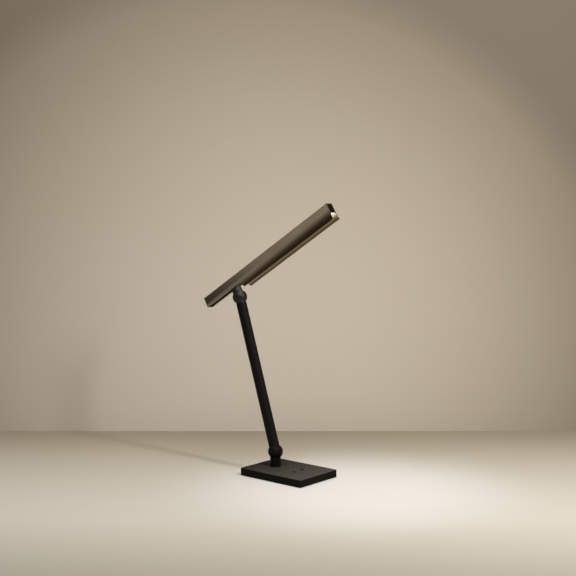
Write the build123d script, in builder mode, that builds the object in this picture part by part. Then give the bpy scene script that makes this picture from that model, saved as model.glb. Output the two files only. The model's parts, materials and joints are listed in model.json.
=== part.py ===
from build123d import *

import os
from math import cos, radians, sin, sqrt

# Piano lamp: a weighted base plate with two push buttons, a short post, a ball knuckle, a
# leaning arm, a second ball knuckle, and a long lamp head with a flared trough and LED strip.
# Origin: centre of the base's underside. +X: along the base to its button end. +Z: up.

# ---------------------------------------------------------------- driving dimensions (mm)

base_length = 139.7
base_width = 101.5
plate_thickness = 12.7
pad_thickness = 0.8

post_x = -30.7
lower_pivot_height = 40.3
arm_length = 286.5
arm_lean = 17.4
head_tilt = 31.4

tube_radius = 9.5
tube_wall = 1.5
ball_radius = 13.4

head_behind = 76.6
head_ahead = 264.6
neck_height = 19.3
bar_width = 14.7
bar_height = 19.2
skirt_depth = 11.7
flare_out = 2.2
flare_start = 6.7
shell_wall = 1.3

button_x = 22.5
button_spacing = 23.0
button_radius = 3.25
button_travel = 0.5

wire_radius = 1.0

# ---------------------------------------------------------------- fits and small sizes

running_gap = 0.05
seat_gap = 0.05
slide_gap = 0.1
loose_gap = 0.3
standing = (Align.CENTER, Align.CENTER, Align.MIN)

plate_bottom = pad_thickness
plate_top = pad_thickness + plate_thickness

across = Vector(0, 1, 0)
lower_pivot = Vector(post_x, 0, lower_pivot_height)
arm_up = Vector(-sin(radians(arm_lean)), 0, cos(radians(arm_lean)))
arm_front = Vector(cos(radians(arm_lean)), 0, sin(radians(arm_lean)))
upper_pivot = lower_pivot + arm_up * arm_length
head_ahead_dir = Vector(cos(radians(head_tilt)), 0, sin(radians(head_tilt)))
head_up = Vector(-sin(radians(head_tilt)), 0, cos(radians(head_tilt)))
bar_origin = upper_pivot + head_up * neck_height

# Each half ball lies on the +y side of its own frame, with its stem along +z.
post_frame = Plane(origin=lower_pivot, x_dir=(1, 0, 0), z_dir=(0, 0, -1))
arm_foot_frame = Plane(origin=lower_pivot, x_dir=arm_front, z_dir=arm_up)
arm_head_frame = Plane(origin=upper_pivot, x_dir=arm_front * -1, z_dir=arm_up * -1)
neck_frame = Plane(origin=upper_pivot, x_dir=head_ahead_dir * -1, z_dir=head_up)

os.makedirs("parts", exist_ok=True)


def along_y(frame):
    """The plane through a knuckle's centre that faces the way its half ball bulges."""
    return Plane(origin=frame.origin, x_dir=frame.x_dir, z_dir=frame.y_dir)


def wire(frame, points, radii):
    """A round wire through points given in a frame, with one bend radius for each corner."""
    with BuildPart() as lead:
        with BuildLine() as route:
            FilletPolyline(*[frame.from_local_coords(p) for p in points], radius=radii)
        with BuildSketch(Plane(origin=route.line @ 0, z_dir=route.line % 0)):
            Circle(wire_radius)
        sweep()
    return lead.part


# ================================================================ base

screw_hole_radius = 1.5
corner_radius = 2.5
top_round = 0.8
bottom_round = 0.4
pad_margin = 2.0
pad_corner = 3.0

pocket_rear = -63.5
pocket_front = 31.0
pocket_half_width = 16.5
pocket_corner = 3.0
pocket_ceiling = 9.6
pocket_length = pocket_front - pocket_rear
pocket_middle = (pocket_front + pocket_rear) / 2

cover_rear = -66.0
cover_front = 34.0
cover_half_width = 24.0
cover_corner = 2.0
cover_gap = 0.2
cover_thickness = 1.2
cover_top = plate_bottom + cover_thickness
cover_middle = (cover_front + cover_rear) / 2
cover_screw_places = [(x, y) for x in (-58.0, 26.0) for y in (-20.5, 20.5)]
cover_screw_head_radius = 2.8
cover_screw_end = 8.0
screw_slot_length = 3.2
screw_slot_width = 0.7

board_bottom = 3.8
board_thickness = 1.6
board_top = board_bottom + board_thickness
board_screw_places = [(-46.0, -10.5), (-46.0, 10.5), (4.0, 0.0)]
boss_radius = 2.5
board_screw_radius = 1.0
board_screw_end = 8.0

stud_radius = 5.0
stud_bore_radius = 3.0
stud_end = 5.6

jack_centre_height = 5.8
jack_nose_radius = 3.7
button_hole_radius = button_radius + loose_gap
button_places = [(button_x, -button_spacing / 2), (button_x, button_spacing / 2)]

# Solid steel slab, milled out underneath for the electronics.
with BuildPart() as base_plate:
    with BuildSketch(Plane.XY.offset(plate_bottom)):
        RectangleRounded(base_length, base_width, corner_radius)
    extrude(amount=plate_thickness)
    fillet(base_plate.edges().group_by(Axis.Z)[-1], radius=top_round)
    fillet(base_plate.edges().group_by(Axis.Z)[0], radius=bottom_round)
    with BuildSketch(Plane.XY.offset(plate_bottom)):
        with Locations((pocket_middle, 0)):
            RectangleRounded(pocket_length, 2 * pocket_half_width, pocket_corner)
    extrude(amount=pocket_ceiling - plate_bottom, mode=Mode.SUBTRACT)
    with BuildSketch(Plane.XY.offset(plate_bottom)):
        with Locations((cover_middle, 0)):
            RectangleRounded(
                cover_front - cover_rear + 2 * cover_gap,
                2 * cover_half_width + 2 * cover_gap,
                cover_corner,
            )
    extrude(amount=cover_thickness, mode=Mode.SUBTRACT)
    with BuildSketch(Plane.XY.offset(board_top)):
        with Locations(*board_screw_places):
            Circle(boss_radius)
            Circle(board_screw_radius, mode=Mode.SUBTRACT)
    extrude(amount=pocket_ceiling - board_top)
    with BuildSketch(Plane.XY.offset(cover_top)):
        with Locations(*cover_screw_places):
            Circle(screw_hole_radius)
    extrude(amount=cover_screw_end - cover_top, mode=Mode.SUBTRACT)
    with BuildSketch(Plane.XY.offset(pocket_ceiling)):
        with Locations(*button_places):
            Circle(button_hole_radius)
        with Locations((post_x, 0)):
            Circle(stud_radius)
    extrude(amount=plate_top - pocket_ceiling, mode=Mode.SUBTRACT)
    with BuildSketch(Plane.YZ.offset(-base_length / 2)):
        with Locations((0, jack_centre_height)):
            Circle(jack_nose_radius + slide_gap)
    extrude(amount=pocket_rear + base_length / 2, mode=Mode.SUBTRACT)
base_plate.part.label = "base_plate"
export_step(base_plate.part, "parts/base_plate.step")

# Thin rubber sheet glued under the plate, over the cover and its screws.
with BuildPart() as base_pad:
    with BuildSketch():
        RectangleRounded(base_length - 2 * pad_margin, base_width - 2 * pad_margin, pad_corner)
    extrude(amount=pad_thickness)
base_pad.part.label = "base_pad"
export_step(base_pad.part, "parts/base_pad.step")

# Steel sheet that closes the pocket, let in flush with the plate's underside.
with BuildPart() as base_cover:
    with BuildSketch(Plane.XY.offset(plate_bottom)):
        with Locations((cover_middle, 0)):
            RectangleRounded(cover_front - cover_rear, 2 * cover_half_width, cover_corner)
    extrude(amount=cover_thickness)
    with Locations(*[(x, y, plate_bottom) for x, y in cover_screw_places]):
        Cone(
            cover_screw_head_radius + seat_gap,
            screw_hole_radius + seat_gap,
            cover_thickness,
            align=standing,
            mode=Mode.SUBTRACT,
        )
base_cover.part.label = "base_cover"
export_step(base_cover.part, "parts/base_cover.step")

# Four slotted countersunk screws through the cover.
with BuildPart() as cover_screws:
    with Locations(*[(x, y, plate_bottom) for x, y in cover_screw_places]):
        Cone(cover_screw_head_radius, screw_hole_radius, cover_thickness, align=standing)
        Cylinder(screw_hole_radius, cover_screw_end - plate_bottom, align=standing)
        Box(
            screw_slot_length,
            screw_slot_width,
            screw_slot_width,
            align=standing,
            mode=Mode.SUBTRACT,
        )
cover_screws.part.label = "cover_screws"
export_step(cover_screws.part, "parts/cover_screws.step")

# One circuit board: cut round for the post's nut, and notched for the power inlet.
board_rear = -61.0
board_front = 29.0
board_half_width = 14.5
board_hole_radius = 9.2
notch_depth = 11.2
notch_half_width = 4.8
with BuildPart() as control_board:
    with BuildSketch(Plane.XY.offset(board_bottom)):
        with Locations(((board_front + board_rear) / 2, 0)):
            Rectangle(board_front - board_rear, 2 * board_half_width)
        with Locations((board_rear + notch_depth / 2, 0)):
            Rectangle(notch_depth, 2 * notch_half_width, mode=Mode.SUBTRACT)
        with Locations((post_x, 0)):
            Circle(board_hole_radius, mode=Mode.SUBTRACT)
        with Locations(*board_screw_places):
            Circle(board_screw_radius, mode=Mode.SUBTRACT)
    extrude(amount=board_thickness)
control_board.part.label = "control_board"
export_step(control_board.part, "parts/control_board.step")

# Three screws from below, into the bosses that the board hangs from.
board_screw_head_radius = 1.9
board_screw_head = 1.3
board_screw_length = board_screw_end - board_bottom + board_screw_head
with BuildPart() as board_screws:
    with Locations(*[(x, y, board_bottom - board_screw_head) for x, y in board_screw_places]):
        Cylinder(board_screw_head_radius, board_screw_head, align=standing)
        Cylinder(board_screw_radius, board_screw_length, align=standing)
board_screws.part.label = "board_screws"
export_step(board_screws.part, "parts/board_screws.step")

# Driver parts soldered to the board: a coil, two chips and three capacitors.
component_boxes = [
    (-12.0, 6.0, 6.0, 6.0, 2.8),
    (-11.0, -7.5, 5.0, 4.0, 1.2),
    (13.0, 0.0, 5.0, 5.0, 1.0),
    (-3.0, -8.0, 3.2, 2.5, 1.6),
    (-3.0, 7.0, 3.2, 2.5, 1.6),
    (-55.5, 9.5, 4.0, 3.0, 1.8),
]
with BuildPart() as board_components:
    for x, y, length, width, height in component_boxes:
        with Locations((x, y, board_top)):
            Box(length, width, height, align=standing)
board_components.part.label = "board_components"
export_step(board_components.part, "parts/board_components.step")

# Two push switches under the buttons, each with a well that its plunger sinks into.
switch_size = 6.0
switch_height = 1.8
switch_corner = 0.5
switch_top = board_top + switch_height
plunger_radius = 1.7
well_floor = 5.9
with BuildPart() as switch_housings:
    with BuildSketch(Plane.XY.offset(board_top)):
        with Locations(*button_places):
            RectangleRounded(switch_size, switch_size, switch_corner)
    extrude(amount=switch_height)
    with BuildSketch(Plane.XY.offset(well_floor)):
        with Locations(*button_places):
            Circle(plunger_radius + slide_gap)
    extrude(amount=switch_top - well_floor, mode=Mode.SUBTRACT)
switch_housings.part.label = "switch_housings"
export_step(switch_housings.part, "parts/switch_housings.step")

# Each button is a small domed cap with a flange that keeps it under the plate, and a
# plunger below it that presses the switch.
button_proud = 0.3
button_round = 0.5
button_top = plate_top + button_proud
flange_radius = 4.4
flange_bottom = 8.6
flange_top = pocket_ceiling - slide_gap
plunger_bottom = well_floor + button_travel + slide_gap
for name, (x, y) in zip(("power", "dimmer"), button_places):
    with BuildPart() as button:
        with BuildSketch(Plane.XY.offset(flange_bottom)):
            with Locations((x, y)):
                Circle(flange_radius)
        extrude(amount=flange_top - flange_bottom)
        with BuildSketch(Plane.XY.offset(flange_bottom)):
            with Locations((x, y)):
                Circle(button_radius)
        extrude(amount=button_top - flange_bottom)
        fillet(button.edges().group_by(Axis.Z)[-1], radius=button_round)
    button.part.label = f"{name}_button"
    export_step(button.part, f"parts/{name}_button.step")
    with BuildPart() as plunger:
        with BuildSketch(Plane.XY.offset(plunger_bottom)):
            with Locations((x, y)):
                Circle(plunger_radius)
        extrude(amount=flange_bottom - plunger_bottom)
    plunger.part.label = f"{name}_plunger"
    export_step(plunger.part, f"parts/{name}_plunger.step")

# Barrel inlet in the middle of the rear edge, with its centre contact.
jack_front = -50.0
jack_width = 9.0
jack_height = 7.0
jack_set_back = 0.2
jack_mouth = -base_length / 2 + jack_set_back
jack_body = pocket_rear + slide_gap
jack_bore_radius = 2.85
jack_bore_depth = 9.5
jack_pin_radius = 1.0
jack_pin_set_back = 1.0
jack_pin_round = 0.4
with BuildPart() as power_jack:
    with BuildSketch(Plane.YZ.offset(jack_body)):
        with Locations((0, jack_centre_height)):
            Rectangle(jack_width, jack_height)
    extrude(amount=jack_front - jack_body)
    with BuildSketch(Plane.YZ.offset(jack_mouth)):
        with Locations((0, jack_centre_height)):
            Circle(jack_nose_radius)
    extrude(amount=jack_body - jack_mouth)
    with BuildSketch(Plane.YZ.offset(jack_mouth)):
        with Locations((0, jack_centre_height)):
            Circle(jack_bore_radius)
    extrude(amount=jack_bore_depth, mode=Mode.SUBTRACT)
power_jack.part.label = "power_jack"
export_step(power_jack.part, "parts/power_jack.step")

with BuildPart() as jack_pin:
    with BuildSketch(Plane.YZ.offset(jack_mouth + jack_pin_set_back)):
        with Locations((0, jack_centre_height)):
            Circle(jack_pin_radius)
    extrude(amount=jack_bore_depth - jack_pin_set_back)
    fillet(jack_pin.edges().group_by(Axis.X)[0], radius=jack_pin_round)
jack_pin.part.label = "jack_pin"
export_step(jack_pin.part, "parts/jack_pin.step")

# ================================================================ post

collar_end = 11.7
spigot_end = 23.0
spigot_radius = tube_radius - tube_wall - seat_gap
set_screw_place = 17.0
set_screw_radius = 1.5
set_screw_depth = 6.0
post_top = lower_pivot_height - collar_end
post_floor_thickness = 3.0
post_floor = plate_top + post_floor_thickness
set_screw_height = lower_pivot_height - set_screw_place

# Short turned tube with a floor and a hollow threaded stud through the plate.
with BuildPart() as post:
    with BuildSketch(Plane.XY.offset(plate_top)):
        with Locations((post_x, 0)):
            Circle(tube_radius)
    extrude(amount=post_top - plate_top)
    with BuildSketch(Plane.XY.offset(post_floor)):
        with Locations((post_x, 0)):
            Circle(tube_radius - tube_wall)
    extrude(amount=post_top - post_floor, mode=Mode.SUBTRACT)
    with BuildSketch(Plane.XY.offset(stud_end)):
        with Locations((post_x, 0)):
            Circle(stud_radius)
    extrude(amount=plate_top - stud_end)
    with BuildSketch(Plane.XY.offset(stud_end)):
        with Locations((post_x, 0)):
            Circle(stud_bore_radius)
    extrude(amount=post_floor - stud_end, mode=Mode.SUBTRACT)
    with BuildSketch(Plane.YZ.offset(post_x - tube_radius)):
        with Locations((0, set_screw_height)):
            Circle(set_screw_radius)
    extrude(amount=2 * tube_wall, mode=Mode.SUBTRACT)
post.part.label = "post"
export_step(post.part, "parts/post.step")

# Washer and nut that draw the post down from inside the pocket.
washer_thickness = 0.8
post_washer_radius = 8.0
with BuildPart() as post_washer:
    with BuildSketch(Plane.XY.offset(pocket_ceiling - washer_thickness)):
        with Locations((post_x, 0)):
            Circle(post_washer_radius)
            Circle(stud_radius + seat_gap, mode=Mode.SUBTRACT)
    extrude(amount=washer_thickness)
post_washer.part.label = "post_washer"
export_step(post_washer.part, "parts/post_washer.step")

post_nut_across_flats = 14.0
post_nut_thickness = 2.8
with BuildPart() as post_nut:
    with BuildSketch(Plane.XY.offset(pocket_ceiling - washer_thickness - post_nut_thickness)):
        with Locations((post_x, 0)):
            RegularPolygon(post_nut_across_flats / 2, 6, major_radius=False)
            Circle(stud_radius, mode=Mode.SUBTRACT)
    extrude(amount=post_nut_thickness)
post_nut.part.label = "post_nut"
export_step(post_nut.part, "parts/post_nut.step")

# ================================================================ ball knuckles

# Each ball is split across the hinge axis. The post and the neck hold the halves with the
# pivot bolt, friction washer and stop pin; the arm holds the halves that turn on them.
face_gap = 0.1
swing_clearance = 0.3
web_end = 2.5
cavity_radius = 8.6
pivot_radius = 3.5
pivot_bore_radius = 2.2
pivot_head_radius = 5.25
pivot_head = 2.0
pivot_tail = 5.6
pivot_hole_radius = pivot_radius + running_gap
friction_washer_radius = 8.8
recess_end = 0.5
spring_washer_outer = 4.8
spring_washer_inner = 3.6
spring_washer_height = 0.85
spring_washer_sheet = 0.45
pivot_nut_thickness = 2.0
pivot_nut_radius = 5.5
stop_radius = 10.4
stop_pin_radius = 1.0
stop_pin_back = 3.0
stop_pin_reach = 1.5
stop_swing = 60.0
groove_play = 0.4
groove_width = 2 * stop_pin_radius + groove_play
groove_end = 1.8
stem_bore_radius = 3.3
stem_bore_offset = 3.9
stem_bore_start = 8.2
ball_cap_radius = 8.5
ball_cap_start = 8.6
ball_cap_hollow_radius = 6.9
ball_cap_hollow_end = 10.5


def half_ball(frame, stem_radius, stem_end, spigot_end, bore_end):
    """Hollow half ball on the frame's +y side, with a stem and a thinner spigot along +z."""
    face = along_y(frame)
    facing_away = Plane(
        origin=face.offset(face_gap).origin, x_dir=frame.x_dir, z_dir=frame.y_dir * -1
    )
    with BuildPart() as half:
        with Locations(frame):
            Sphere(ball_radius)
        with BuildSketch(frame):
            Circle(stem_radius)
        extrude(amount=stem_end)
        with BuildSketch(frame):
            Circle(spigot_radius)
        extrude(amount=spigot_end)
        with Locations(facing_away):
            Sphere(
                ball_radius + swing_clearance,
                arc_size1=0,
                align=(Align.CENTER, Align.CENTER, Align.MIN),
                mode=Mode.SUBTRACT,
            )
        with BuildSketch(face.offset(web_end)):
            Circle(cavity_radius)
        extrude(amount=ball_radius, mode=Mode.SUBTRACT)
        with BuildSketch(face):
            Circle(pivot_hole_radius)
        extrude(amount=web_end, mode=Mode.SUBTRACT)
        with BuildSketch(frame.offset(stem_bore_start)):
            with Locations((0, stem_bore_offset)):
                Circle(stem_bore_radius)
        extrude(amount=bore_end - stem_bore_start, mode=Mode.SUBTRACT)
    return half.part


def pinned_half(half, frame, pin_side):
    """Recesses a half ball for the friction washer and drills it for the stop pin."""
    face = along_y(frame)
    with BuildPart() as pinned:
        add(half)
        with BuildSketch(face):
            Circle(friction_washer_radius + seat_gap)
        extrude(amount=recess_end, mode=Mode.SUBTRACT)
        with BuildSketch(face):
            with Locations((pin_side * stop_radius, 0)):
                Circle(stop_pin_radius + seat_gap)
        extrude(amount=stop_pin_back, mode=Mode.SUBTRACT)
    return pinned.part


def grooved_half(half, frame, pin_side):
    """Cuts a half ball with the arc groove that the stop pin runs in, as long as the swing."""
    middle = 0 if pin_side > 0 else 180
    with BuildSketch() as groove:
        SlotArc(
            CenterArc((0, 0), stop_radius, middle - stop_swing, 2 * stop_swing),
            groove_width,
        )
    with BuildPart() as grooved:
        add(half)
        with BuildSketch(along_y(frame)):
            add(groove.sketch)
        extrude(amount=groove_end, mode=Mode.SUBTRACT)
    return grooved.part


def screw_plane(frame, screw_side):
    """The plane on a stem's axis, at its set screw, facing out along the screw."""
    return Plane(
        origin=frame.origin + frame.z_dir * set_screw_place,
        x_dir=frame.y_dir,
        z_dir=frame.x_dir * screw_side,
    )


# The half on the post, and the two halves in the ends of the arm's tube.
screw_set_back = 0.2
screw_outer = tube_radius - screw_set_back
screw_inner = 5.0
tube_halves = (
    ("post_knuckle", post_frame, pinned_half, 1, -1),
    ("arm_lower_knuckle", arm_foot_frame, grooved_half, 1, -1),
    ("arm_upper_knuckle", arm_head_frame, grooved_half, -1, 1),
)
for name, frame, finish, pin_side, screw_side in tube_halves:
    blank = half_ball(frame, tube_radius, collar_end, spigot_end, spigot_end)
    with BuildPart() as knuckle:
        add(finish(blank, frame, pin_side))
        with BuildSketch(screw_plane(frame, screw_side).offset(screw_inner - loose_gap)):
            Circle(set_screw_radius)
        extrude(amount=tube_radius, mode=Mode.SUBTRACT)
    knuckle.part.label = name
    export_step(knuckle.part, f"parts/{name}.step")

# Headless set screws that hold the tubes on the spigots, on the side away from the head.
set_screws = (
    ("post_set_screw", [screw_plane(post_frame, -1)]),
    ("arm_set_screws", [screw_plane(arm_foot_frame, -1), screw_plane(arm_head_frame, 1)]),
)
set_screw_body = set_screw_radius - seat_gap
hex_key = 1.5
for name, planes in set_screws:
    with BuildPart() as screws:
        for plane in planes:
            with BuildSketch(plane.offset(screw_inner)):
                Circle(set_screw_body)
            extrude(amount=screw_outer - screw_inner)
            with BuildSketch(plane.offset(screw_outer)):
                RegularPolygon(hex_key / 2, 6, major_radius=False)
            extrude(amount=-hex_key, mode=Mode.SUBTRACT)
    screws.part.label = name
    export_step(screws.part, f"parts/{name}.step")

# The neck: a half ball whose stem narrows to the bar's width, with a shoulder that passes
# the cover strip and a hollow threaded stud that is screwed into the bar.
neck_radius = 9.4
neck_half_width = 7.6
neck_taper_start = 6.5
neck_flat_start = 2.0
shoulder_radius = 5.0
shoulder_height = 6.0
neck_stud_radius = 4.0
neck_stud_end = 12.5
neck_stud_bore = 2.5
neck_bore_end = 15.0
neck_bore_start = 11.0
head_top_plane = Plane(origin=bar_origin, x_dir=head_ahead_dir, z_dir=head_up)
head_side_plane = Plane(origin=bar_origin, x_dir=head_ahead_dir, z_dir=across * -1)
neck_blank = half_ball(neck_frame, neck_radius, neck_height, neck_height, neck_bore_end)
with BuildPart() as neck:
    add(pinned_half(neck_blank, neck_frame, -1))
    for side in (-1, 1):
        with BuildSketch(Plane(origin=bar_origin, x_dir=across, z_dir=head_ahead_dir)):
            with BuildLine():
                Polyline(
                    (side * neck_half_width, 0),
                    (side * neck_half_width, -neck_flat_start),
                    (side * tube_radius, -neck_taper_start),
                    (side * tube_radius, 0),
                    close=True,
                )
            make_face()
        extrude(amount=tube_radius, both=True, mode=Mode.SUBTRACT)
    with BuildSketch(head_top_plane):
        Circle(shoulder_radius)
    extrude(amount=shoulder_height)
    with BuildSketch(head_top_plane):
        Circle(neck_stud_radius)
    extrude(amount=neck_stud_end)
    with BuildSketch(neck_frame.offset(neck_bore_start)):
        Circle(neck_stud_bore)
    extrude(amount=neck_height - neck_bore_start + neck_stud_end, mode=Mode.SUBTRACT)
neck.part.label = "neck"
export_step(neck.part, "parts/neck.step")

# Domed caps that complete each half ball over its cavity.
ball_caps = (
    ("post_knuckle_cap", post_frame),
    ("arm_lower_knuckle_cap", arm_foot_frame),
    ("arm_upper_knuckle_cap", arm_head_frame),
    ("neck_cap", neck_frame),
)
for name, frame in ball_caps:
    with BuildPart() as cap:
        with Locations(frame):
            Sphere(ball_radius)
        with BuildSketch(along_y(frame).offset(ball_cap_start)):
            Circle(ball_cap_radius)
        extrude(amount=ball_radius, mode=Mode.INTERSECT)
        with BuildSketch(along_y(frame).offset(ball_cap_start)):
            Circle(ball_cap_hollow_radius)
        extrude(amount=ball_cap_hollow_end - ball_cap_start, mode=Mode.SUBTRACT)
    cap.part.label = name
    export_step(cap.part, f"parts/{name}.step")

# In each ball: a hollow pivot bolt, a friction washer between the halves, a conical spring
# washer and a nut behind the turning half, and a stop pin.
nut_start = web_end + running_gap + spring_washer_height
for name, frame, pin_side in (("lower", post_frame, 1), ("upper", neck_frame, -1)):
    face = along_y(frame)
    with BuildPart() as pivot:
        with BuildSketch(face.offset(web_end)):
            Circle(pivot_head_radius)
        extrude(amount=pivot_head)
        with BuildSketch(face.offset(-pivot_tail)):
            Circle(pivot_radius)
        extrude(amount=pivot_tail + web_end)
        with BuildSketch(face.offset(-pivot_tail)):
            Circle(pivot_bore_radius)
        extrude(amount=pivot_tail + web_end + pivot_head, mode=Mode.SUBTRACT)
    pivot.part.label = f"{name}_pivot"
    export_step(pivot.part, f"parts/{name}_pivot.step")
    with BuildPart() as friction_washer:
        with BuildSketch(face.offset(running_gap - face_gap)):
            Circle(friction_washer_radius)
            Circle(pivot_hole_radius, mode=Mode.SUBTRACT)
        extrude(amount=recess_end - running_gap + face_gap)
    friction_washer.part.label = f"{name}_friction_washer"
    export_step(friction_washer.part, f"parts/{name}_friction_washer.step")
    with BuildPart() as spring_washer:
        with BuildSketch(frame):
            with BuildLine():
                Polyline(
                    (spring_washer_outer, -web_end - running_gap),
                    (spring_washer_inner, -nut_start + spring_washer_sheet),
                    (spring_washer_inner, -nut_start),
                    (spring_washer_outer, -web_end - running_gap - spring_washer_sheet),
                    close=True,
                )
            make_face()
        revolve(axis=Axis(frame.origin, frame.y_dir))
    spring_washer.part.label = f"{name}_spring_washer"
    export_step(spring_washer.part, f"parts/{name}_spring_washer.step")
    with BuildPart() as pivot_nut:
        with BuildSketch(face.offset(-nut_start - pivot_nut_thickness)):
            RegularPolygon(pivot_nut_radius, 6)
            Circle(pivot_radius, mode=Mode.SUBTRACT)
        extrude(amount=pivot_nut_thickness)
    pivot_nut.part.label = f"{name}_pivot_nut"
    export_step(pivot_nut.part, f"parts/{name}_pivot_nut.step")
    with BuildPart() as stop_pin:
        with BuildSketch(face.offset(-stop_pin_reach)):
            with Locations((pin_side * stop_radius, 0)):
                Circle(stop_pin_radius)
        extrude(amount=stop_pin_reach + stop_pin_back)
    stop_pin.part.label = f"{name}_stop_pin"
    export_step(stop_pin.part, f"parts/{name}_stop_pin.step")

# ================================================================ arm

# Steel tube between the two collars, with a hole for the set screw near each end.
with BuildPart() as arm_tube:
    with BuildSketch(arm_foot_frame.offset(collar_end)):
        Circle(tube_radius)
        Circle(tube_radius - tube_wall, mode=Mode.SUBTRACT)
    extrude(amount=arm_length - 2 * collar_end)
    for plane in (screw_plane(arm_foot_frame, -1), screw_plane(arm_head_frame, 1)):
        with BuildSketch(plane.offset(tube_radius - 2 * tube_wall)):
            Circle(set_screw_radius)
        extrude(amount=3 * tube_wall, mode=Mode.SUBTRACT)
arm_tube.part.label = "arm_tube"
export_step(arm_tube.part, "parts/arm_tube.step")

# ================================================================ lamp head

flare_drop = flare_start + skirt_depth
flare_radius = (flare_out**2 + flare_drop**2) / (2 * flare_out)
top_wall = 1.5
inner_half_width = bar_width / 2 - shell_wall
inner_top = bar_height - top_wall
shell_round = 0.6
web_bottom = 6.0
web_top = 7.5
rib_reach = 0.9
rib_inner = inner_half_width - rib_reach
rib_thickness = 0.6
strip_bottom = 1.0
strip_top = 3.0
upper_rib_bottom = strip_top + seat_gap
upper_rib_top = upper_rib_bottom + rib_thickness
ribs = ((strip_bottom - rib_thickness, strip_bottom), (upper_rib_bottom, upper_rib_top))
plug_wall = 1.3
plug_inset = shell_wall + seat_gap
face_depth = plug_wall + seat_gap
end_depth = 6.0
tail_cut_start = 8.5
tail_cut_end = 28.0
tail_cut_run = tail_cut_end - tail_cut_start
tail_cut_radius = (tail_cut_run**2 + skirt_depth**2) / (2 * skirt_depth)
wire_slot_start = 20.0
wire_slot_end = 26.0
wire_slot_half_width = 3.0
wire_slot_corner = 1.0


def section_plane(ahead):
    """The head's cross-section plane at a distance ahead of the neck's axis."""
    origin = bar_origin + head_ahead_dir * ahead
    return Plane(origin=origin, x_dir=across, z_dir=head_ahead_dir)


def bar_outline(inset, top, bottom, corner):
    """Cross-section of the head: straight sides that flare outward below, inset all round."""
    half_width = bar_width / 2 - inset
    radius = flare_radius + inset
    spread = radius - sqrt(radius**2 - (flare_start - bottom) ** 2)
    with BuildSketch() as outline:
        with BuildLine():
            bend = TangentArc(
                (half_width, flare_start), (half_width + spread, bottom), tangent=(0, -1)
            )
            side = Line((half_width, top), (half_width, flare_start))
            mirror(about=Plane.YZ)
            Line((-half_width, top), side @ 0)
            Line((-half_width - spread, bottom), bend @ 1)
        make_face()
        if corner:
            fillet(outline.vertices().group_by(Axis.Y)[-1], radius=corner)
    return outline.sketch


# Aluminium extrusion: a channel over a trough, with a web between them, ribs that grip the
# strips below the web, and a trough skirt that is cut away behind the neck in an arc. Web and
# ribs stop short of the ends for the plugs; at the front the ribs run up to the plug's face.
end_cuts = (
    (-head_behind, end_depth, -skirt_depth),
    (head_ahead - end_depth, end_depth, upper_rib_top),
    (head_ahead - face_depth, face_depth, -skirt_depth),
)
with BuildPart() as head_shell:
    with BuildSketch(section_plane(-head_behind)):
        add(bar_outline(0, bar_height, -skirt_depth, shell_round))
        add(bar_outline(shell_wall, inner_top, -skirt_depth, 0), mode=Mode.SUBTRACT)
        with Locations((0, (web_bottom + web_top) / 2)):
            Rectangle(2 * inner_half_width + shell_wall, web_top - web_bottom)
        for bottom, top in ribs:
            for side in (-1, 1):
                with Locations((side * (rib_inner + shell_wall / 2), (bottom + top) / 2)):
                    Rectangle(shell_wall, top - bottom)
    extrude(amount=head_behind + head_ahead)
    for start, depth, bottom in end_cuts:
        with BuildSketch(section_plane(start)):
            add(bar_outline(shell_wall, inner_top, bottom, 0))
        extrude(amount=depth, mode=Mode.SUBTRACT)
    with BuildSketch(head_side_plane):
        with BuildLine():
            Line((-head_behind - 1, 0), (tail_cut_start, 0))
            RadiusArc((tail_cut_start, 0), (tail_cut_end, -skirt_depth), tail_cut_radius)
            Polyline(
                (tail_cut_end, -skirt_depth),
                (tail_cut_end, -skirt_depth - 1),
                (-head_behind - 1, -skirt_depth - 1),
                (-head_behind - 1, 0),
            )
        make_face()
    extrude(amount=bar_width, both=True, mode=Mode.SUBTRACT)
    with BuildSketch(head_top_plane.offset(web_bottom)):
        Circle(neck_stud_radius + slide_gap)
        with Locations(((wire_slot_start + wire_slot_end) / 2, 0)):
            RectangleRounded(
                wire_slot_end - wire_slot_start, 2 * wire_slot_half_width, wire_slot_corner
            )
    extrude(amount=web_top - web_bottom, mode=Mode.SUBTRACT)
head_shell.part.label = "head_shell"
export_step(head_shell.part, "parts/head_shell.step")

# Moulded plugs, flush with the two ends of the extrusion: a face plate with a hollow sleeve
# behind it. The front plug's sleeve stays above the ribs, and its face ends at the diffuser.
plugs = (
    ("front_cap", section_plane(head_ahead), -1, strip_bottom, upper_rib_top + seat_gap),
    ("rear_cap", section_plane(-head_behind), 1, 0, 0),
)
for name, plane, inward, face_bottom, sleeve_bottom in plugs:
    with BuildPart() as plug:
        with BuildSketch(plane):
            add(bar_outline(plug_inset, inner_top - seat_gap, face_bottom, 0))
        extrude(amount=inward * plug_wall)
        with BuildSketch(plane.offset(inward * plug_wall)):
            add(bar_outline(plug_inset, inner_top - seat_gap, sleeve_bottom, 0))
            hollow = bar_outline(
                plug_inset + plug_wall, inner_top - plug_wall, sleeve_bottom + plug_wall, 0
            )
            add(hollow, mode=Mode.SUBTRACT)
        extrude(amount=inward * (end_depth - seat_gap - plug_wall))
    plug.part.label = name
    export_step(plug.part, f"parts/{name}.step")

# Two strips slide in between the ribs: a blank cover under the tail and the diffuser.
strip_half_width = 6.0
strip_joint = 12.0
cover_start = -head_behind + end_depth
diffuser_end = head_ahead - face_depth
with BuildPart() as tail_cover:
    with BuildSketch(head_top_plane.offset(strip_bottom)):
        with Locations(((cover_start + strip_joint) / 2, 0)):
            Rectangle(strip_joint - cover_start, 2 * strip_half_width)
        Circle(shoulder_radius + slide_gap, mode=Mode.SUBTRACT)
    extrude(amount=strip_top - strip_bottom)
tail_cover.part.label = "tail_cover"
export_step(tail_cover.part, "parts/tail_cover.step")

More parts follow.
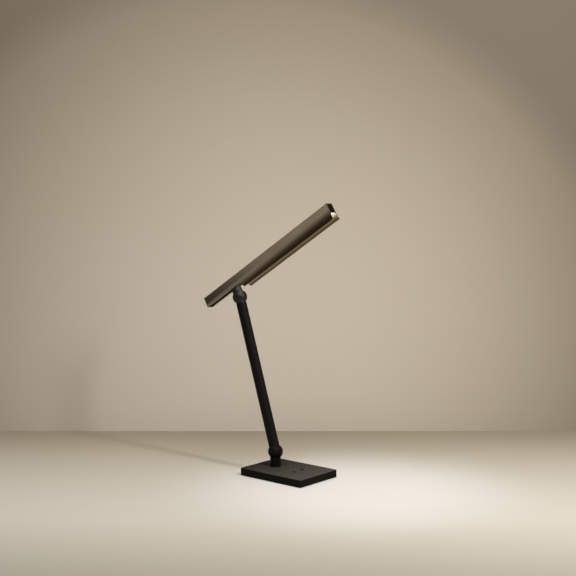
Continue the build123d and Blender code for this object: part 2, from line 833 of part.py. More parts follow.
with BuildPart() as diffuser:
    with BuildSketch(head_top_plane.offset(strip_bottom)):
        with Locations(((strip_joint + diffuser_end) / 2, 0)):
            Rectangle(diffuser_end - strip_joint, 2 * strip_half_width)
    extrude(amount=strip_top - strip_bottom)
diffuser.part.label = "diffuser"
export_step(diffuser.part, "parts/diffuser.step")

# Threaded plate above the web that the neck's stud is screwed into.
nut_plate_length = 24.0
nut_plate_width = 11.8
nut_plate_thickness = 4.0
with BuildPart() as neck_nut_plate:
    with BuildSketch(head_top_plane.offset(web_top)):
        Rectangle(nut_plate_length, nut_plate_width)
        Circle(neck_stud_radius, mode=Mode.SUBTRACT)
    extrude(amount=nut_plate_thickness)
neck_nut_plate.part.label = "neck_nut_plate"
export_step(neck_nut_plate.part, "parts/neck_nut_plate.step")

# Narrow circuit board against the web, with a row of LEDs.
led_board_start = 14.0
led_board_end = 258.0
led_board_half_width = 5.0
led_board_thickness = 1.2
led_board_bottom = web_bottom - led_board_thickness
led_count = 30
led_pitch = 8.0
led_length = 2.8
led_width = 3.5
led_height = 0.8
led_middle = (led_board_start + led_board_end) / 2
with BuildPart() as led_board:
    with BuildSketch(head_top_plane.offset(led_board_bottom)):
        with Locations((led_middle, 0)):
            Rectangle(led_board_end - led_board_start, 2 * led_board_half_width)
    extrude(amount=led_board_thickness)
led_board.part.label = "led_board"
export_step(led_board.part, "parts/led_board.step")

with BuildPart() as led_chips:
    with BuildSketch(head_top_plane.offset(led_board_bottom - led_height)):
        with Locations((led_middle, 0)):
            with GridLocations(led_pitch, 1, led_count, 1):
                Rectangle(led_length, led_width)
    extrude(amount=led_height)
led_chips.part.label = "led_chips"
export_step(led_chips.part, "parts/led_chips.step")

# ================================================================ wires

# Low-voltage leads cross each ball along its hinge axis, through the hollow pivot bolt, so
# that tilting only twists them: one each in the base, the arm and the head.
bend = 3.5
tight_bend = 2.0
run_depth = 7.2
run_end = 5.0
diagonal_end = 12.0

post_wire_offset = 1.8
post_wire_bend = 16.0
board_wire_height = 4.4
board_wire_reach = 8.6
board_wire_drop = lower_pivot_height - board_wire_height
base_wire = wire(
    post_frame,
    [
        (0, seat_gap, 0),
        (0, run_depth, 0),
        (0, run_depth, run_end),
        (0, post_wire_offset, post_wire_bend),
        (0, post_wire_offset, board_wire_drop),
        (board_wire_reach, post_wire_offset, board_wire_drop),
    ],
    [bend, bend, bend, tight_bend],
)
base_wire.label = "base_wire"
export_step(base_wire, "parts/base_wire.step")

# The arm's lead runs from the lower ball to the upper one along the tube.
arm_wire = wire(
    arm_foot_frame,
    [
        (0, seat_gap, 0),
        (0, run_depth, 0),
        (0, run_depth, run_end),
        (0, stem_bore_offset, diagonal_end),
        (0, stem_bore_offset, arm_length - diagonal_end),
        (0, run_depth, arm_length - run_end),
        (0, run_depth, arm_length),
        (0, seat_gap, arm_length),
    ],
    [bend] * 6,
)
arm_wire.label = "arm_wire"
export_step(arm_wire, "parts/arm_wire.step")

# The head's lead rises through the neck's stud, crosses the channel over the nut plate, and
# drops through the web's slot to the LED board.
head_wire_rise = 15.5
head_wire_level = 14.9
head_wire_drop = 23.0
head_wire = wire(
    neck_frame,
    [
        (0, seat_gap, 0),
        (0, run_depth, 0),
        (0, run_depth, run_end),
        (0, 0, head_wire_rise),
        (0, 0, neck_height + head_wire_level),
        (-head_wire_drop, 0, neck_height + head_wire_level),
        (-head_wire_drop, 0, neck_height + web_bottom + seat_gap),
    ],
    [bend] * 5,
)
head_wire.label = "head_wire"
export_step(head_wire, "parts/head_wire.step")
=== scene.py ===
import json
import math
import bpy
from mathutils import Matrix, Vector


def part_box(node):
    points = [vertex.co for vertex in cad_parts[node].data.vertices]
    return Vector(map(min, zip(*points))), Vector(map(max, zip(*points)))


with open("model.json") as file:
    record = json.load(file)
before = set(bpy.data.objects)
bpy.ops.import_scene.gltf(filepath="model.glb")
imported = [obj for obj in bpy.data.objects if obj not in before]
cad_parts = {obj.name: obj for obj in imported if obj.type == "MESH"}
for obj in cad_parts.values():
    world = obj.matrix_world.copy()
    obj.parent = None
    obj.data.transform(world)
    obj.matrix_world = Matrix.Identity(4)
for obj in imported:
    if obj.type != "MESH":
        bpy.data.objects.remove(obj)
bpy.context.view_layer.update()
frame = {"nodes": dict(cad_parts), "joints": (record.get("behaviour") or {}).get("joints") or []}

# ---------------------------------------------------------------- camera
# A long lens at table height, level with the middle of the lamp and turned
# towards the corner between its button end and its near long side.
camera_place = Vector((1.24513, -1.46567, 0.48742))
camera_turn = math.radians(40.376)
camera_pitch = math.radians(85.5)
lens_data = bpy.data.cameras.new("studio_camera")
lens_data.lens = 68.64
lens_data.sensor_width = 36.0
studio_camera = bpy.data.objects.new("studio_camera", lens_data)
bpy.context.scene.collection.objects.link(studio_camera)
studio_camera.location = camera_place
studio_camera.rotation_euler = (camera_pitch, 0.0, camera_turn)
bpy.context.scene.camera = studio_camera

# ---------------------------------------------------------------- table and wall
# A pale matt table top that the lamp stands on, and a matt wall not quite forty
# centimetres behind it. Seen from behind or from below, both let the view through.
up = Vector((0.0, 0.0, 1.0))
away = Vector((-math.sin(camera_turn), math.cos(camera_turn), 0.0))
aside = Vector((math.cos(camera_turn), math.sin(camera_turn), 0.0))
camera_to_wall = 2.309
wall_foot = Vector((camera_place.x, camera_place.y, 0.0)) + away * camera_to_wall
wall_line = wall_foot.dot(away)
wall_half_width = 3.0
wall_height = 2.4
table_reach = 5.3
table_under_wall = 0.02


def studio_sheet(name, start, across, upward):
    """A flat sheet of the studio with one corner at the start, spanned by two vectors."""
    mesh = bpy.data.meshes.new(name)
    corners = (start, start + across, start + across + upward, start + upward)
    mesh.from_pydata([tuple(corner) for corner in corners], [], [(0, 1, 2, 3)])
    sheet = bpy.data.objects.new(name, mesh)
    bpy.context.scene.collection.objects.link(sheet)
    return sheet


def fresh_material(name):
    """An empty node material, with its node tree and its output."""
    material = bpy.data.materials.new(name)
    material.use_nodes = True
    tree = material.node_tree
    tree.nodes.clear()
    return material, tree, tree.nodes.new("ShaderNodeOutputMaterial")


def feed(tree, sockets, values):
    """Sets each named or numbered socket to a plain value, or links an output to it."""
    for label, value in values.items():
        if isinstance(value, bpy.types.NodeSocket):
            tree.links.new(value, sockets[label])
        else:
            sockets[label].default_value = value


def add_node(tree, kind, inputs, **settings):
    """A new node with its settings, and with its inputs fed."""
    node = tree.nodes.new(kind)
    for label, value in settings.items():
        setattr(node, label, value)
    feed(tree, node.inputs, inputs)
    return node


def object_place(tree):
    """The place on a piece in metres, which stays with the piece when its body moves."""
    return tree.nodes.new("ShaderNodeTexCoord").outputs["Object"]


def turned_place(tree, place, axis, angle):
    """A place turned about an axis through the origin."""
    inputs = {"Vector": place, "Angle": angle}
    node = add_node(tree, "ShaderNodeVectorRotate", inputs, rotation_type=f"{axis}_AXIS")
    return node.outputs["Vector"]


def vector_math(tree, operation, *values):
    """A vector math node; a length or a dot product comes out as a number."""
    node = add_node(tree, "ShaderNodeVectorMath", dict(enumerate(values)), operation=operation)
    return node.outputs["Value" if operation in ("LENGTH", "DOT_PRODUCT") else "Vector"]


def distance_over(tree, centre, reach):
    """Distance from a centre over an oval reach, in the studio's aside, away and up directions."""
    turned = turned_place(tree, object_place(tree), "Z", -camera_turn)
    inputs = {"Vector": turned, "Location": centre, "Scale": reach}
    scaled = add_node(tree, "ShaderNodeMapping", inputs, vector_type="TEXTURE")
    return vector_math(tree, "LENGTH", scaled.outputs["Vector"])


def mapped(tree, value, low, high, to_low=0.0, to_high=1.0, easing="LINEAR"):
    """A value carried from one range to another and held inside it."""
    inputs = {
        "Value": value, "From Min": low, "From Max": high, "To Min": to_low, "To Max": to_high,
    }
    node = add_node(tree, "ShaderNodeMapRange", inputs, interpolation_type=easing)
    return node.outputs["Result"]


def tone_steps(tree, driver, steps):
    """A soft colour ramp through a list of places and colours."""
    ramp = tree.nodes.new("ShaderNodeValToRGB")
    ramp.color_ramp.interpolation = "B_SPLINE"
    while len(ramp.color_ramp.elements) < len(steps):
        ramp.color_ramp.elements.new(0.5)
    for element, (position, colour) in zip(ramp.color_ramp.elements, steps):
        element.position = position
        element.color = (*colour, 1)
    tree.links.new(driver, ramp.inputs["Fac"])
    return ramp.outputs["Color"]


def blend_colours(tree, factor, first, second):
    """A colour mix by an output, of two outputs or plain colours."""
    # The node's sockets for colours come after those for numbers and for vectors.
    first_colour, second_colour, colour_result = 6, 7, 2
    inputs = {"Factor": factor, first_colour: first, second_colour: second}
    return add_node(tree, "ShaderNodeMix", inputs, data_type="RGBA").outputs[colour_result]


def either_shader(tree, factor, first, second):
    """The first shader where the factor is 0, and the second where it is 1."""
    inputs = dict(enumerate((factor, first, second)))
    return add_node(tree, "ShaderNodeMixShader", inputs).outputs["Shader"]


def one_sided_paint(tree, output, tone):
    """A matt paint on the face side, and nothing seen from the other side."""
    paint = add_node(tree, "ShaderNodeBsdfDiffuse", {"Color": tone})
    see_through = tree.nodes.new("ShaderNodeBsdfTransparent")
    which_side = tree.nodes.new("ShaderNodeNewGeometry")
    either = either_shader(
        tree, which_side.outputs["Backfacing"], paint.outputs["BSDF"], see_through.outputs["BSDF"]
    )
    tree.links.new(either, output.inputs["Surface"])


# A reach so long that the distance in its direction counts for nothing.
endless = 1000.0
table_top = studio_sheet(
    "table_top",
    wall_foot - aside * table_reach - away * table_reach,
    aside * 2 * table_reach,
    away * (table_reach + table_under_wall),
)
table_paint, tree, output = fresh_material("pale_table")
near_depth = 2.0
from_wall = distance_over(tree, (0.0, wall_line, 0.0), (endless, near_depth, endless))
# Painted light and shade across the table: painted shade at the wall's foot, a painted band of
# light in front of the lamp, and painted shade again nearer the camera.
painted_light_band_tone = tone_steps(
    tree,
    from_wall,
    [
        (0.0, (0.315, 0.28, 0.215)),
        (0.05, (0.375, 0.335, 0.26)),
        (0.12, (0.49, 0.45, 0.37)),
        (0.21, (0.585, 0.55, 0.48)),
        (0.30, (0.63, 0.60, 0.535)),
        (0.36, (0.60, 0.565, 0.495)),
        (0.46, (0.38, 0.355, 0.29)),
        (0.60, (0.30, 0.275, 0.225)),
    ],
)
# The pool of light in front of the lamp.
pool_centre = (0.11, wall_line - 0.475, 0.0)
pool_reach = (0.365, 0.33, 1.0)
pool_fades = (0.1, 1.1)
pool_strength = 0.84
pool_tone = (0.80, 0.79, 0.785, 1)
pool_spread = distance_over(tree, pool_centre, pool_reach)
pool = mapped(tree, pool_spread, *pool_fades, pool_strength, 0.0, easing="SMOOTHERSTEP")
lit_tone = blend_colours(tree, pool, painted_light_band_tone, pool_tone)
# Far from the lamp the table is painted darker, as painted shade seen only in reflections and in
# bounced light.
lit_middle = (0.0, wall_line - 0.4, 0.0)
darkens_over = (0.5, 2.2)
darkest_tone = (0.085, 0.075, 0.061, 1)
far_spread = distance_over(tree, lit_middle, (1.0, 1.0, endless))
falls_away = mapped(tree, far_spread, *darkens_over, easing="SMOOTHSTEP")
dim_tone = blend_colours(tree, falls_away, lit_tone, darkest_tone)
path = tree.nodes.new("ShaderNodeLightPath")
table_tone = blend_colours(tree, path.outputs["Is Camera Ray"], dim_tone, lit_tone)
one_sided_paint(tree, output, table_tone)
table_top.data.materials.append(table_paint)

back_wall = studio_sheet(
    "back_wall", wall_foot - aside * wall_half_width, aside * 2 * wall_half_width, up * wall_height
)
wall_paint, tree, output = fresh_material("beige_wall")
# The wall is painted lighter near its foot a little left of the lamp and darker up and out from
# there: a painted falloff of light.
painted_light_centre = (-0.11, wall_line, 0.0)
wall_fades_over = (0.92, endless, 1.0)
wall_spread = distance_over(tree, painted_light_centre, wall_fades_over)
painted_falloff_wall_tone = tone_steps(
    tree,
    wall_spread,
    [
        (0.0, (0.71, 0.655, 0.56)),
        (0.27, (0.66, 0.60, 0.515)),
        (0.47, (0.59, 0.525, 0.44)),
        (0.70, (0.44, 0.385, 0.305)),
        (0.90, (0.295, 0.247, 0.19)),
        (1.0, (0.20, 0.168, 0.128)),
    ],
)
one_sided_paint(tree, output, painted_falloff_wall_tone)
back_wall.data.materials.append(wall_paint)

# ---------------------------------------------------------------- studio light
# A small soft box in the upright plane that the arm leans in casts the arm's thin
# shadow, and a wide overhead panel lights the rest, in a dim room whose left side
# glows faintly just above table height, as from a far shaded window.
bpy.context.scene.view_settings.view_transform = "Standard"


def soft_lamp(name, place, target, size, power, tone):
    """A soft box of a width and height, that faces a target."""
    data = bpy.data.lights.new(name, "AREA")
    data.shape = "RECTANGLE"
    data.size, data.size_y = size
    data.energy = power
    data.color = tone
    lamp = bpy.data.objects.new(name, data)
    bpy.context.scene.collection.objects.link(lamp)
    lamp.location = place
    lamp.rotation_euler = (target - place).to_track_quat("-Z", "Y").to_euler()


soft_lamp(
    "right_soft_box",
    place=Vector((1.17, 0.0, 0.95)),
    target=up * 0.05,
    size=(0.13, 0.13),
    power=8.2,
    tone=(1.0, 0.97, 0.93),
)
soft_lamp(
    "overhead_soft_box",
    place=up * 2.3 - away * 0.9,
    target=away * 0.3 + up * 0.2,
    size=(2.0, 1.6),
    power=50.0,
    tone=(1.0, 0.975, 0.94),
)


def axes_of(tree, vector):
    """The X, Y and Z of a vector."""
    return add_node(tree, "ShaderNodeSeparateXYZ", {"Vector": vector}).outputs


def arithmetic(tree, operation, *values):
    """A math node whose inputs are numbers or other nodes' outputs."""
    node = add_node(tree, "ShaderNodeMath", dict(enumerate(values)), operation=operation)
    return node.outputs["Value"]


room = bpy.data.worlds.new("dim_room")
bpy.context.scene.world = room
room.use_nodes = True
tree = room.node_tree
tree.nodes.clear()
direction = axes_of(tree, tree.nodes.new("ShaderNodeTexCoord").outputs["Generated"])
plain_tone = tone_steps(
    tree, direction["Z"], [(0.0, (0.08, 0.072, 0.064)), (0.24, (0.04, 0.036, 0.032))]
)
glow_low = math.sin(math.radians(-6.0))
glow_high = math.sin(math.radians(14.0))
glow_tone = tone_steps(
    tree,
    mapped(tree, direction["Z"], glow_low, glow_high),
    [
        (0.0, (0.74, 0.73, 0.70)),
        (0.28, (0.74, 0.73, 0.70)),
        (0.38, (0.48, 0.45, 0.40)),
        (0.48, (0.27, 0.235, 0.185)),
        (0.60, (0.125, 0.10, 0.072)),
        (0.75, (0.045, 0.035, 0.025)),
        (1.0, (0.025, 0.022, 0.018)),
    ],
)
glow_starts = math.radians(-165.0)
glow_ends = math.radians(-95.0)
# How much of the glow is left at each step from its start to its end, round the room.
glow_shares = ((0.0, 0.0), (0.2, 0.56), (0.42, 0.62), (0.54, 1.2), (0.72, 1.3), (1.0, 0.0))
bearing = arithmetic(tree, "ARCTAN2", direction["Y"], direction["X"])
left_side = mapped(tree, bearing, glow_starts, glow_ends)
glow_share = tone_steps(tree, left_side, [(place, (share,) * 3) for place, share in glow_shares])
room_tone = blend_colours(tree, glow_share, plain_tone, glow_tone)
light = add_node(tree, "ShaderNodeBackground", {"Color": room_tone})
view_of_room = add_node(tree, "ShaderNodeBackground", {"Color": (0.50, 0.45, 0.38, 1)})
path = tree.nodes.new("ShaderNodeLightPath")
either = either_shader(
    tree,
    path.outputs["Is Camera Ray"],
    light.outputs["Background"],
    view_of_room.outputs["Background"],
)
output = tree.nodes.new("ShaderNodeOutputWorld")
tree.links.new(either, output.inputs["Surface"])

# ---------------------------------------------------------------- base plate
# A solid steel slab, shot-blasted and powder coated in a dark bronze black.
# The coat has a fine grain and a soft cloudy tone. A lighter film on its top is dust and painted
# light
# at once: painted lighter than the sides, most towards the button end, with a painted shadow of
# the leaning arm behind the post.


def effect_group(name, numbers, tones, outputs):
    """An empty shader group with named number and tone inputs, and named outputs."""
    tree = bpy.data.node_groups.new(name, "ShaderNodeTree")
    for label in numbers:
        tree.interface.new_socket(label, in_out="INPUT", socket_type="NodeSocketFloat")
    for label in tones:
        tree.interface.new_socket(label, in_out="INPUT", socket_type="NodeSocketColor")
    for label in outputs:
        kind = "NodeSocketColor" if "Color" in label else "NodeSocketFloat"
        tree.interface.new_socket(label, in_out="OUTPUT", socket_type=kind)
    entry = tree.nodes.new("NodeGroupInput")
    leave = tree.nodes.new("NodeGroupOutput")
    return tree, entry.outputs, leave.inputs


def noise_at(tree, place, scale, detail):
    """A noise value at a place, with so many lumps per metre."""
    inputs = {"Vector": place, "Scale": scale, "Detail": detail}
    return add_node(tree, "ShaderNodeTexNoise", inputs).outputs["Fac"]


# Most of a noise lies between the first two values, and its middle between the others.
noise_span = (0.3, 0.7)
noise_middle = (0.35, 0.65)
coat_numbers = ("Grain size", "Rough from", "Rough to")
coat_tones = ("Tone", "Cloud tone", "Speck tone")
cloud_share = 0.55
specks_above = 0.56
speck_edge = (0.11, 0.04)
tree, entry, leave = effect_group(
    "coat_grain", coat_numbers, coat_tones, ("Color", "Roughness", "Height")
)
coat_group = tree
place = object_place(tree)
grain_scale = arithmetic(tree, "DIVIDE", 1.0, entry["Grain size"])
grain = noise_at(tree, place, scale=grain_scale, detail=2.5)
cloud = noise_at(tree, place, scale=22.0, detail=5.0)
rub = noise_at(tree, place, scale=70.0, detail=6.0)
speck = add_node(tree, "ShaderNodeTexVoronoi", {"Vector": place, "Scale": 260.0})
speck_mask = mapped(tree, speck.outputs["Distance"], *speck_edge)
in_thick_cloud = arithmetic(tree, "GREATER_THAN", cloud, specks_above)
speck_some = arithmetic(tree, "MULTIPLY", speck_mask, in_thick_cloud)
grain_mask = mapped(tree, grain, *noise_middle)
cloud_mask = mapped(tree, cloud, *noise_middle)
cloud_part = arithmetic(tree, "MULTIPLY", cloud_mask, cloud_share)
both = arithmetic(tree, "MULTIPLY_ADD", grain_mask, 1.0 - cloud_share, cloud_part)
tone = blend_colours(tree, both, entry["Tone"], entry["Cloud tone"])
tone = blend_colours(tree, speck_some, tone, entry["Speck tone"])
rough = mapped(tree, rub, *noise_span, entry["Rough from"], entry["Rough to"])
feed(tree, leave, {"Color": tone, "Roughness": rough, "Height": grain})


def grained_finish(name, group, numbers, tones, bump, bump_depth, constants):
    """A Principled material fed by an effect group; constants sit on the shader's own sockets."""
    material, tree, output = fresh_material(name)
    opaque_tones = {label: (*tone, 1) for label, tone in tones.items()}
    inputs = {**numbers, **opaque_tones}
    effect = add_node(tree, "ShaderNodeGroup", inputs, node_tree=group).outputs
    relief = add_node(
        tree,
        "ShaderNodeBump",
        {"Strength": bump, "Distance": bump_depth, "Height": effect["Height"]},
    )
    shader = add_node(tree, "ShaderNodeBsdfPrincipled", constants)
    feed(
        tree, shader.inputs, {"Base Color": effect["Color"], "Normal": relief.outputs["Normal"]}
    )
    for label in ("Roughness", "Metallic", "Emission Color"):
        if label in effect:
            tree.links.new(effect[label], shader.inputs[label])
    tree.links.new(shader.outputs["BSDF"], output.inputs["Surface"])
    return material


def dress(material, *names):
    """Gives CAD pieces their finish."""
    for name in names:
        for slot in frame["nodes"][name].material_slots:
            slot.material = material


top_of_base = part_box("base_plate")[1].z
top_light_starts = top_of_base - 0.0004
top_light_whole = top_of_base - 0.0001
# Painted light: the top's film grows lighter along the base's length towards the button end, and a
# little more on its near side.
light_falloff_slant = -0.25
light_falloff_ends = (-0.065, 0.065)
least_light = 0.15
# A painted shadow of the arm: a strip behind the post keeps little of the lighter film.
arm_shadow_line = 0.001
arm_shadow_half_width = (0.010, 0.005)
arm_shadow_front = (-0.024, -0.038)
thinnest_streak = 0.88
tree, entry, leave = effect_group(
    "dust_and_painted_light_coat", coat_numbers, (*coat_tones, "Dust and painted light tone"), ("Color", "Roughness", "Height")
)
dust_and_light_group = tree
coat_inputs = {label: entry[label] for label in (*coat_numbers, *coat_tones)}
coat = add_node(tree, "ShaderNodeGroup", coat_inputs, node_tree=coat_group).outputs
place = object_place(tree)
spot = axes_of(tree, place)
on_top = mapped(tree, spot["Z"], top_light_starts, top_light_whole)
along_top = arithmetic(tree, "MULTIPLY_ADD", spot["Y"], light_falloff_slant, spot["X"])
light_falloff = mapped(tree, along_top, *light_falloff_ends, to_low=least_light)
from_arm_line = arithmetic(tree, "SUBTRACT", spot["Y"], arm_shadow_line)
off_arm_line = arithmetic(tree, "ABSOLUTE", from_arm_line)
beside_arm = mapped(tree, off_arm_line, *arm_shadow_half_width)
behind_post = mapped(tree, spot["X"], *arm_shadow_front)
under_arm = arithmetic(tree, "MULTIPLY", beside_arm, behind_post)
out_of_arm_shadow = arithmetic(tree, "SUBTRACT", 1.0, under_arm)
streaks = noise_at(tree, place, scale=90.0, detail=4.0)
streak_mask = mapped(tree, streaks, *noise_span, to_low=thinnest_streak)
# The top's lighter film is dust and painted light, cut by the arm's painted shadow and thinned in
# random streaks.
dust_and_painted_light = on_top
for mask in (light_falloff, out_of_arm_shadow, streak_mask):
    dust_and_painted_light = arithmetic(tree, "MULTIPLY", dust_and_painted_light, mask)
dust_and_light_tone = blend_colours(tree, dust_and_painted_light, coat["Color"], entry["Dust and painted light tone"])
feed(
    tree, leave, {"Color": dust_and_light_tone, "Roughness": coat["Roughness"], "Height": coat["Height"]}
)

base_coat = grained_finish(
    "bronze_black_powder_coat",
    dust_and_light_group,
    {"Grain size": 0.0005, "Rough from": 0.60, "Rough to": 0.70},
    {
        "Tone": (0.0095, 0.0085, 0.0068),
        "Cloud tone": (0.0125, 0.0112, 0.0088),
        "Speck tone": (0.025, 0.023, 0.019),
        "Dust and painted light tone": (0.078, 0.071, 0.060),
    },
    bump=0.3,
    bump_depth=0.00008,
    constants={
        "Specular IOR Level": 0.01,
        "Sheen Weight": 0.12,
        "Sheen Roughness": 0.3,
        "Sheen Tint": (1.0, 0.93, 0.82, 1.0),
    },
)
dress(base_coat, "base_plate")

# ---------------------------------------------------------------- base pad
# A thin sheet of black foamed rubber, cut a little smaller than the plate
# and glued under it, so that it hides the cover and its screws.
pad_rubber = grained_finish(
    "foamed_rubber",
    coat_group,
    {"Grain size": 0.0011, "Rough from": 0.8, "Rough to": 0.92},
    {
        "Tone": (0.012, 0.012, 0.012),
        "Cloud tone": (0.02, 0.02, 0.019),
        "Speck tone": (0.035, 0.035, 0.035),
    },
    bump=0.7,
    bump_depth=0.0003,
    constants={"Specular IOR Level": 0.3},
)
dress(pad_rubber, "base_pad")

# ---------------------------------------------------------------- base cover
# Zinc-plated sheet steel, stamped flat, with faint rolling lines along it and
# a cloudy passivated tone; it closes the pocket under the plate.
tree, entry, leave = effect_group(
    "drawn_metal",
    ("Lines per metre", "Stretch", "Rough from", "Rough to", "Turn"),
    ("Tone", "Line tone", "Cloud tone"),
    ("Color", "Roughness", "Height"),
)
drawn_group = tree
line_share = 0.5
place = object_place(tree)
along = axes_of(tree, turned_place(tree, place, "Y", entry["Turn"]))
stretched = arithmetic(tree, "MULTIPLY", along["X"], entry["Stretch"])
squeezed = add_node(
    tree, "ShaderNodeCombineXYZ", {"X": stretched, "Y": along["Y"], "Z": along["Z"]}
)
lines = noise_at(tree, squeezed.outputs["Vector"], scale=entry["Lines per metre"], detail=3.0)
cloud = noise_at(tree, place, scale=14.0, detail=4.0)
line_mask = mapped(tree, lines, *noise_middle)
cloud_mask = mapped(tree, cloud, 0.4, 0.7, to_high=0.8)
tone = blend_colours(tree, line_mask, entry["Tone"], entry["Line tone"])
tone = blend_colours(tree, cloud_mask, tone, entry["Cloud tone"])
cloud_part = arithmetic(tree, "MULTIPLY", cloud, 1.0 - line_share)
both = arithmetic(tree, "MULTIPLY_ADD", lines, line_share, cloud_part)
rough = mapped(tree, both, *noise_span, entry["Rough from"], entry["Rough to"])
feed(tree, leave, {"Color": tone, "Roughness": rough, "Height": lines})

zinc_sheet = grained_finish(
    "zinc_plated_sheet",
    drawn_group,
    {
        "Lines per metre": 1500.0, "Stretch": 0.01, "Rough from": 0.3, "Rough to": 0.46,
        "Turn": 0.0,
    },
    {
        "Tone": (0.52, 0.53, 0.54),
        "Line tone": (0.60, 0.61, 0.61),
        "Cloud tone": (0.50, 0.49, 0.44),
    },
    bump=0.15,
    bump_depth=0.00003,
    constants={"Metallic": 1.0},
)
dress(zinc_sheet, "base_cover")

# ---------------------------------------------------------------- screws
# Small hardened screws in black oxide, slightly oily: the cover's and the
# board's screws, the headless set screws, the spring washers and stop pins.
black_oxide = grained_finish(
    "black_oxide_steel",
    coat_group,
    {"Grain size": 0.00018, "Rough from": 0.3, "Rough to": 0.45},
    {
        "Tone": (0.05, 0.05, 0.052),
        "Cloud tone": (0.075, 0.072, 0.07),
        "Speck tone": (0.16, 0.15, 0.14),
    },
    bump=0.2,
    bump_depth=0.00002,
    constants={"Metallic": 1.0},
)
dress(
    black_oxide,
    "cover_screws", "board_screws", "post_set_screw", "arm_set_screws",
    "lower_spring_washer", "upper_spring_washer", "lower_stop_pin", "upper_stop_pin",
)

# ---------------------------------------------------------------- control board
# Glass-fibre laminate under green solder mask, with raised copper tracks and
# tinned pads; the board hangs under the plate on three screws.
tree, entry, leave = effect_group(
    "printed_board",
    ("Track pitch", "Turn"),
    ("Mask tone", "Track tone", "Pad tone"),
    ("Color", "Roughness", "Height", "Metallic"),
)
board_group = tree
wander = 0.35
track_edge = (0.10, 0.07)
pad_edge = (0.16, 0.13)
pads_above = 0.52
mask_rough = 0.38
pad_rough = 0.24
turned = turned_place(tree, object_place(tree), "Y", entry["Turn"])
flat = vector_math(tree, "MULTIPLY", turned, (1.0, 1.0, 0.0))
per_metre = arithmetic(tree, "DIVIDE", 1.0, entry["Track pitch"])
cells = {"Vector": flat, "Scale": per_metre, "Randomness": wander}
tracks = add_node(
    tree, "ShaderNodeTexVoronoi", cells, voronoi_dimensions="2D", feature="DISTANCE_TO_EDGE"
)
track_mask = mapped(tree, tracks.outputs["Distance"], *track_edge)
pads = add_node(
    tree, "ShaderNodeTexVoronoi", cells, voronoi_dimensions="2D", distance="CHEBYCHEV"
)
pad_mask = mapped(tree, pads.outputs["Distance"], *pad_edge)
patches = noise_at(tree, flat, scale=90.0, detail=1.0)
in_patch = arithmetic(tree, "GREATER_THAN", patches, pads_above)
some_pads = arithmetic(tree, "MULTIPLY", pad_mask, in_patch)
tone = blend_colours(tree, track_mask, entry["Mask tone"], entry["Track tone"])
tone = blend_colours(tree, some_pads, tone, entry["Pad tone"])
board_looks = {
    "Color": tone,
    "Roughness": mapped(tree, some_pads, 0.0, 1.0, mask_rough, pad_rough),
    "Height": arithmetic(tree, "MAXIMUM", track_mask, some_pads),
    "Metallic": some_pads,
}
feed(tree, leave, board_looks)

green_board = grained_finish(
    "green_solder_mask",
    board_group,
    {"Track pitch": 0.0035, "Turn": 0.0},
    {
        "Mask tone": (0.006, 0.075, 0.028),
        "Track tone": (0.012, 0.12, 0.05),
        "Pad tone": (0.68, 0.66, 0.60),
    },
    bump=0.5,
    bump_depth=0.00005,
    constants={"Specular IOR Level": 0.5},
)
dress(green_board, "control_board")

# ---------------------------------------------------------------- black mouldings
# Board parts, switch bodies, plungers and the inlet are injection moulded in
# black plastic with a spark-eroded grain.
black_moulding = grained_finish(
    "black_moulding",
    coat_group,
    {"Grain size": 0.0003, "Rough from": 0.5, "Rough to": 0.65},
    {
        "Tone": (0.010, 0.010, 0.010),
        "Cloud tone": (0.013, 0.013, 0.013),
        "Speck tone": (0.025, 0.025, 0.025),
    },
    bump=0.4,
    bump_depth=0.00005,
    constants={"Specular IOR Level": 0.35},
)
dress(
    black_moulding,
    "power_jack", "switch_housings", "power_plunger", "dimmer_plunger", "board_components",
)

# ---------------------------------------------------------------- push buttons
# Two small moulded caps with a fine matt texture, each on its own plunger
# over a board switch, standing a hair above the plate.
button_plastic = grained_finish(
    "textured_button_plastic",
    coat_group,
    {"Grain size": 0.00025, "Rough from": 0.8, "Rough to": 0.95},
    {
        "Tone": (0.005, 0.0042, 0.0034),
        "Cloud tone": (0.007, 0.006, 0.005),
        "Speck tone": (0.012, 0.011, 0.010),
    },
    bump=0.5,
    bump_depth=0.00008,
    constants={"Specular IOR Level": 0.03},
)
dress(button_plastic, "power_button", "dimmer_button")

# ---------------------------------------------------------------- turned parts
# Nickel-plated pins, bolts, nuts and washers with the fine rings that a lathe
# leaves; the rings run round each part's own axis.
tree, entry, leave = effect_group(
    "turned_metal",
    (
        *(f"{label} {axis}" for label in ("Centre", "Across") for axis in "XYZ"),
        "Rings per metre", "Rough from", "Rough to",
    ),
    ("Tone", "Ring tone"),
    ("Color", "Roughness", "Height"),
)
turned_group = tree
place = object_place(tree)
centre, across = (
    add_node(tree, "ShaderNodeCombineXYZ", {axis: entry[f"{label} {axis}"] for axis in "XYZ"})
    for label in ("Centre", "Across")
)
offset = vector_math(tree, "SUBTRACT", place, centre.outputs["Vector"])
level = vector_math(tree, "MULTIPLY", offset, across.outputs["Vector"])
radius = vector_math(tree, "LENGTH", level)
ring_count = arithmetic(tree, "MULTIPLY", radius, entry["Rings per metre"])
ring_inputs = {"W": ring_count, "Scale": 1.0, "Detail": 2.0}
rings = add_node(tree, "ShaderNodeTexNoise", ring_inputs, noise_dimensions="1D")
ring_mask = mapped(tree, rings.outputs["Fac"], *noise_span)
tarnish = noise_at(tree, place, scale=120.0, detail=4.0)
tone = blend_colours(tree, ring_mask, entry["Tone"], entry["Ring tone"])
rough = mapped(tree, tarnish, *noise_span, entry["Rough from"], entry["Rough to"])
feed(tree, leave, {"Color": tone, "Roughness": rough, "Height": rings.outputs["Fac"]})

